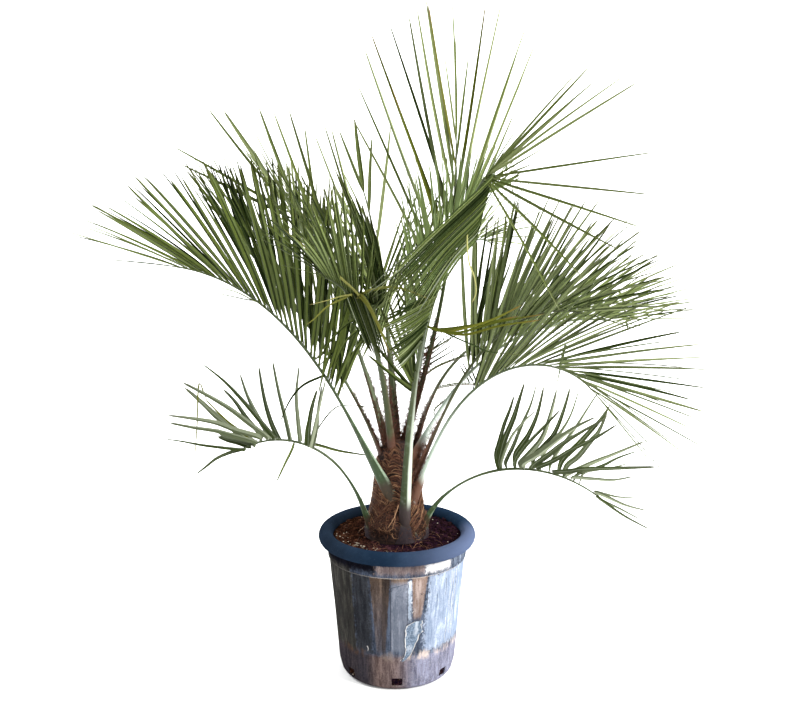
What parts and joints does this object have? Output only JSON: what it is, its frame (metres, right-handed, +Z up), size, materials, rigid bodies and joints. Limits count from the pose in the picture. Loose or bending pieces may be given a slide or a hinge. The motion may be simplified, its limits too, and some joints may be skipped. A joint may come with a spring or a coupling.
{
  "type": "potted pindo palm",
  "caption": "Young feather-leaved palm with arching fronds around a short fibrous crown, growing in soil in a tapered nursery pot with a rolled rim and square drain holes.",
  "frame": {"origin": "centre of the pot's flat underside, on the floor", "axes": "+Z up along the pot's axis, -Y towards the viewer of the picture, +X to that viewer's right"},
  "size_m": [1.4972, 1.3288, 1.6645],
  "materials": {
    "pot": "slate-blue plastic, glossy on the rim, scuffed and dusted with dry earth on the wall",
    "soil": "moist reddish brown potting mix with bark and pale grains",
    "crown": "dark core under woven orange-brown fibres",
    "leaf_dark": "dark green leaf, satin",
    "leaf_mid": "mid green leaf, satin",
    "leaf_light": "light yellow-green leaf, satin",
    "leaf_pale": "grey-green leaf with a waxy bloom"
  },
  "bodies": {
    "root": {"pot": "pot", "soil": "soil", "crown": "crown", "frond_left_low": "leaf_dark", "frond_left_big": "leaf_dark", "frond_left_mid": "leaf_dark", "frond_centre_left": "leaf_dark", "frond_right_brown": "leaf_dark", "frond_right_low": "leaf_mid", "frond_right_big": "leaf_mid", "frond_centre_front": "leaf_mid", "frond_back_right_upper": "leaf_mid", "frond_left_back": "leaf_light", "frond_centre_back": "leaf_light", "frond_upright_back": "leaf_light", "frond_right_back": "leaf_pale", "frond_right_pale": "leaf_pale"}
  },
  "joints": []
}
